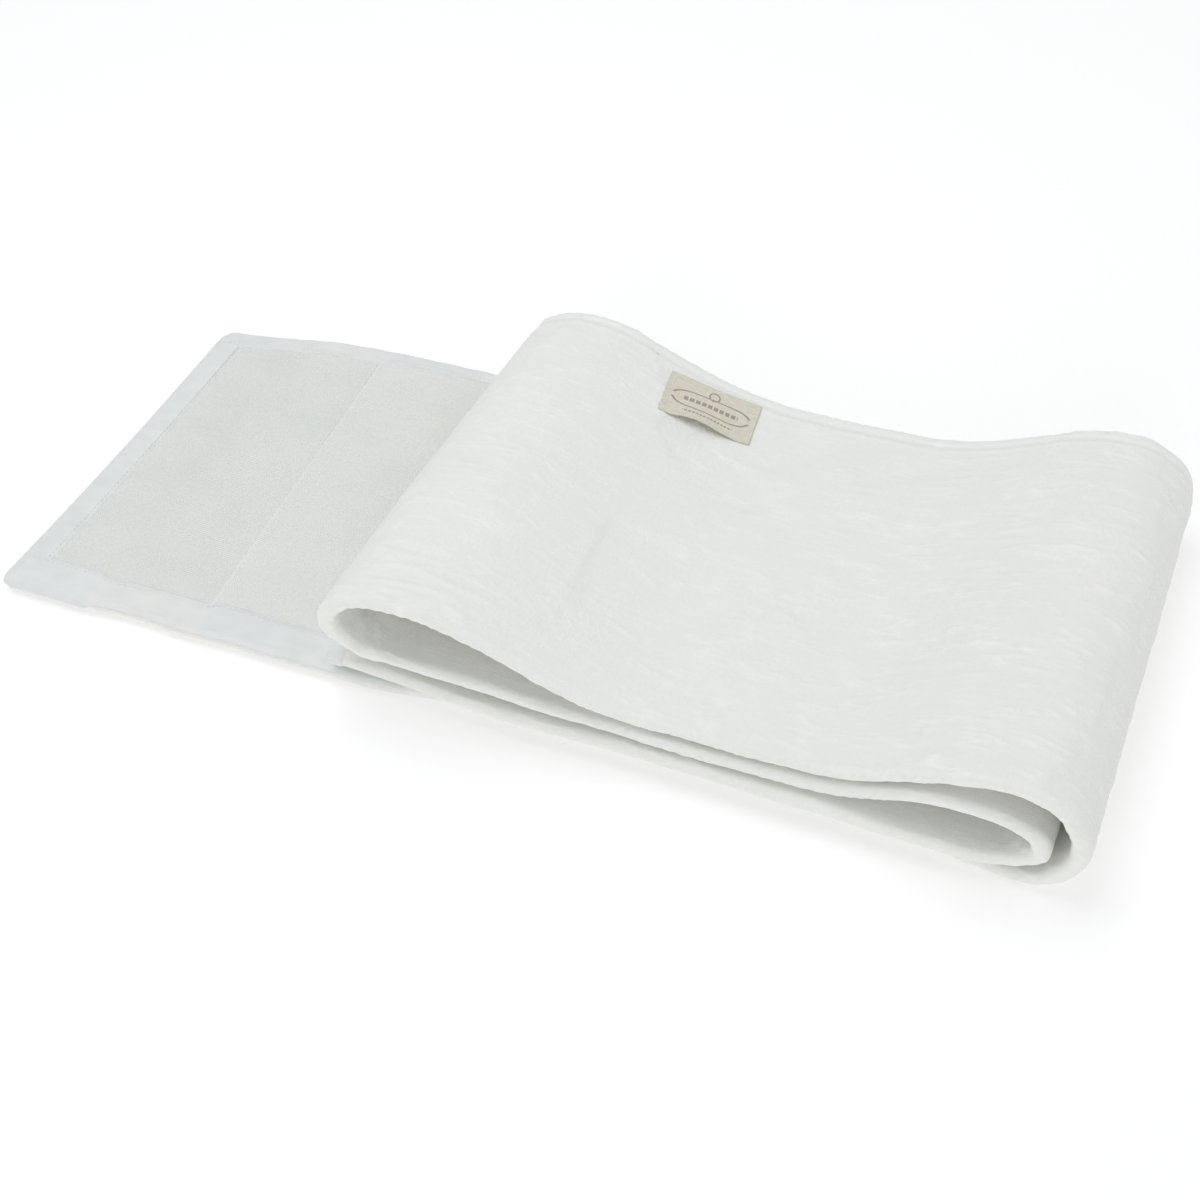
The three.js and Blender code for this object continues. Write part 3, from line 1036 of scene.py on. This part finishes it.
def cotton_muslin():
    """Washed cotton muslin: an open plain weave of slubby threads, drawn into fine crinkles."""
    m = Nodes("cotton_muslin")
    u, v, w = m.cloth_mm = m.cloth()
    weave = m.times(m.wave(u, 1.15), m.wave(v, 1.05))
    cells = m.texture(2.8, 1.5, 23, 1)
    slubs_along = m.texture(8, 0.9)
    slubs_across = m.texture(1.1, 5, 5)
    crinkles = m.texture(16, 2.4, 11, 2)
    patches = m.texture(38, 30, 17, 1)
    grid = m.times(slubs_across, patches)
    height = m.total((weave, 0.12), (slubs_along, 0.35), (grid, 1.5), (crinkles, 0.7), (cells, 0.45))
    m.bump(height, 0.22 * MM)
    # The relief term w paints highlights on the crests, ribs and seam welt and painted shade in the seam's
    # groove; the other terms vary the tone with the threads
    shade = m.total((crinkles, 0.15), (slubs_along, 0.1), (grid, 0.45), (cells, 0.15), (w, 0.75))
    m.color(m.ramp(shade, [(0.2, (0.862, 0.872, 0.824)), (0.75, (0.940, 0.945, 0.903))]))
    m.roughness(crinkles, 0.95, 0.85)
    m.set(Sheen_Weight=0.15, Sheen_Roughness=0.5, Specular_IOR_Level=0.25)
    return m.material


# The two hook tapes differ a little, and the ridge of the seam between them has a painted highlight
OUTER_TAPE = (0.968, 0.978, 0.97)
PAINTED_SEAM_HIGHLIGHT = (1.035, 1.035, 1.025)
INNER_TAPE = (1.0, 1.0, 0.99)


def hook_tape():
    """Woven tape with a dense field of fine hooks in slanting rows."""
    m = Nodes("hook_tape")
    u, v, _ = m.cloth_mm = m.cloth()
    zigzag = m.math("PINGPONG", v, 9)
    slant = m.math("ADD", u, m.times(zigzag, 0.9))
    rows = m.wave(slant, 1.5)
    hooks = m.times(rows, m.wave(v, 1.1))
    wander = m.texture(2.2, 2.2, 3, 3)
    patches = m.texture(30, 26, 9, 1)
    height = m.total((rows, 0.25), (hooks, 0.35), (wander, 1.2))
    m.bump(height, 0.3 * MM)
    shade = m.total((rows, 0.08), (hooks, 0.12), (wander, 0.5), (patches, 0.35))
    m.color(m.ramp(shade, [(0.25, (0.845, 0.862, 0.818)), (0.6, (0.915, 0.928, 0.890))]))
    from_seam = m.minus(u, SEAM / MM - 8)
    # the two tapes' own tones, with a painted highlight along the seam's ridge between them
    tapes = [(0.0, OUTER_TAPE), (0.55, OUTER_TAPE), (0.62, PAINTED_SEAM_HIGHLIGHT), (0.74, PAINTED_SEAM_HIGHLIGHT),
             (0.81, INNER_TAPE)]
    m.tint(m.ramp(m.math("DIVIDE", from_seam, 10), tapes))
    m.roughness(wander, 0.75, 0.6)
    m.set(Specular_IOR_Level=0.3)
    return m.material


# The binding is pieced from lengths of tape that differ a little
COOL_TAPE = (0.965, 0.98, 0.988)
WARM_TAPE = (1.0, 1.0, 0.985)
GREY_TAPE = (0.97, 0.985, 0.98)


def binding_tape():
    """Smooth, tightly woven binding tape, cooler and cleaner than the cotton."""
    m = Nodes("binding_tape")
    u, v, _ = m.cloth_mm = m.cloth()
    weave = m.times(m.wave(u, 0.55), m.wave(v, 0.55))
    threads = m.texture(7, 0.5, 2)
    soft = m.texture(16, 9, 8, 1)
    height = m.total((weave, 0.15), (threads, 0.5), (soft, 1.2))
    m.bump(height, 0.12 * MM)
    shade = m.total((soft, 0.8), (threads, 0.2))
    m.color(m.ramp(shade, [(0.35, (0.805, 0.820, 0.803)), (0.65, (0.860, 0.872, 0.850))]))
    lengths = [(0.0, COOL_TAPE), (0.23, COOL_TAPE), (0.24, WARM_TAPE), (0.52, WARM_TAPE), (0.53, COOL_TAPE),
               (0.70, COOL_TAPE), (0.71, GREY_TAPE), (1.0, GREY_TAPE)]
    m.tint(m.ramp(m.math("DIVIDE", u, 200), lengths))
    m.roughness(threads, 0.7, 0.55)
    m.set(Sheen_Weight=0.1, Specular_IOR_Level=0.35)
    return m.material


def thread():
    m = Nodes("sewing_thread")
    u, v, w = m.cloth_mm = m.cloth()
    twist = m.wave(m.math("ADD", m.math("ADD", u, v), w), 0.5)
    shade = m.math("MULTIPLY_ADD", twist, 0.5, 0.5)
    m.bump(shade, 0.04 * MM)
    m.color(m.ramp(shade, [(0.2, (0.84, 0.85, 0.83)), (0.8, (0.90, 0.91, 0.89))]))
    m.roughness(shade, 0.7, 0.55)
    return m.material


# The label's size in millimetres, and the colour of its print
LABEL_LENGTH, LABEL_WIDTH = 47, 27
PRINT = (0.40, 0.35, 0.31, 1)


def generic_print(m, u, v):
    """A flat oval, a small ring and two rows of plain strokes: 1 where it is printed."""

    def band_of(value, centre, half):
        """1 where value is within half of centre."""
        away = m.math("ABSOLUTE", m.minus(value, centre))
        return m.math("LESS_THAN", away, half)

    def marks(centre, half_height, half_width, pitch, filled):
        """A row of plain strokes."""
        row = m.times(band_of(v, centre, half_height), band_of(u, 0, half_width))
        inside = m.math("LESS_THAN", m.math("FRACT", m.math("DIVIDE", m.math("ADD", u, 50), pitch)), filled)
        return m.times(row, inside)

    across, up = m.math("DIVIDE", u, 20), m.math("DIVIDE", v, 5.5)
    size = m.math("ADD", m.math("POWER", m.math("ABSOLUTE", across), 4), m.times(up, up))
    outline = m.times(band_of(size, 1, 0.14), m.math("GREATER_THAN", m.math("ABSOLUTE", v), 1.5))
    dot_away = m.math("ADD", m.times(u, u), m.math("POWER", m.minus(v, 7.6), 2))
    print_here = m.total((outline, 1), (marks(0, 1.3, 14, 3.1, 0.72), 1), (band_of(dot_away, 7, 2.2), 1),
                         (marks(-8.4, 0.5, 13, 1.9, 0.7), 1))
    return m.math("MINIMUM", print_here, 1)


def label_tape():
    """Beige label tape with a generic print on its upper face."""
    m = Nodes("label_tape")
    split = m.place_on_cloth()
    u = m.times(m.minus(split.outputs[0], 0.5), LABEL_LENGTH)
    v = m.times(m.minus(split.outputs[1], 0.5), LABEL_WIDTH)
    m.cloth_mm = [u, v]
    print_here = m.times(generic_print(m, u, v), m.math("LESS_THAN", split.outputs[2], 0.5))
    weave = m.times(m.wave(u, 0.7), m.wave(v, 0.7))
    speckle = m.texture(3, 2, 1, 3)
    base = m.ramp(speckle, [(0.3, (0.69, 0.66, 0.54)), (0.7, (0.78, 0.755, 0.63))])
    mix = m.tree.nodes.new("ShaderNodeMix")
    mix.data_type = "RGBA"
    m.tree.links.new(print_here, mix.inputs["Factor"])
    m.tree.links.new(base, mix.inputs["A"])
    mix.inputs["B"].default_value = PRINT
    m.color(mix.outputs["Result"])
    m.bump(m.total((weave, 0.4), (speckle, 0.6)), 0.1 * MM)
    m.roughness(speckle, 0.85, 0.7)
    return m.material


COTTON, HOOK_TAPE, BINDING = cotton_muslin(), hook_tape(), binding_tape()
THREAD, LABEL = thread(), label_tape()


# --- studio
CAMERA_PLACE = (0.2132, -0.4280, 0.5294)
HEADING, LOOKS_DOWN, ROLL = 0.4471, 0.86363, -0.1
SENSOR, LENS = 36, 46


def make_camera():
    camera = bpy.data.objects.new("camera", bpy.data.cameras.new("camera"))
    bpy.context.scene.collection.objects.link(camera)
    heading, roll = Matrix.Rotation(HEADING, 4, "Z"), Matrix.Rotation(ROLL, 4, "Z")
    pitch = Matrix.Rotation(math.pi / 2 - LOOKS_DOWN, 4, "X")
    camera.matrix_world = Matrix.Translation(CAMERA_PLACE) @ (heading @ pitch @ roll)
    camera.data.sensor_width = SENSOR
    camera.data.lens = LENS
    camera.data.clip_start = 0.01
    bpy.context.scene.camera = camera


def area_light(name, location, size, power, color):
    """A soft box that faces the object."""
    lamp = bpy.data.objects.new(name, bpy.data.lights.new(name, "AREA"))
    lamp.data.shape = "RECTANGLE"
    lamp.data.size, lamp.data.size_y = size
    lamp.data.energy = power
    lamp.data.color = color
    lamp.location = location
    lamp.rotation_euler = Vector(location).to_track_quat("Z", "Y").to_euler()
    bpy.context.scene.collection.objects.link(lamp)


SKY = (0.97, 0.975, 1.0)


def make_studio():
    area_light("overhead", (-0.3, 0.1, 1.5), (1.0, 0.8), 7.0, SKY)
    area_light("front", (0.25, -1.6, 0.6), (1.4, 0.6), 3.4, (0.98, 0.98, 1.0))
    area_light("side", (1.2, 0.5, 0.9), (0.8, 0.8), 1, SKY)
    world = bpy.data.worlds.new("studio")
    bpy.context.scene.world = world
    world.use_nodes = True
    background = world.node_tree.nodes["Background"]
    background.inputs["Color"].default_value = (*SKY, 1)
    background.inputs["Strength"].default_value = 0.6
    bpy.ops.mesh.primitive_plane_add(size=8, location=(0, 0, LOWEST - 0.1 * MM))
    floor = bpy.context.object
    floor.name = "floor"
    look = Nodes("pale_floor")
    look.set(Base_Color=(0.78, 0.78, 0.77, 1), Roughness=0.9, Specular_IOR_Level=0.1)
    look.set(Emission_Color=(1, 1, 1, 1), Emission_Strength=0.32)
    floor.data.materials.append(look.material)
    bpy.context.scene.view_settings.view_transform = "Standard"


make_camera()
simulate_puffs()
make_band()
make_hook_end()
bind_ends()
make_label()
sew_label()
sew_hook_end()
sew_far_edge()
make_studio()
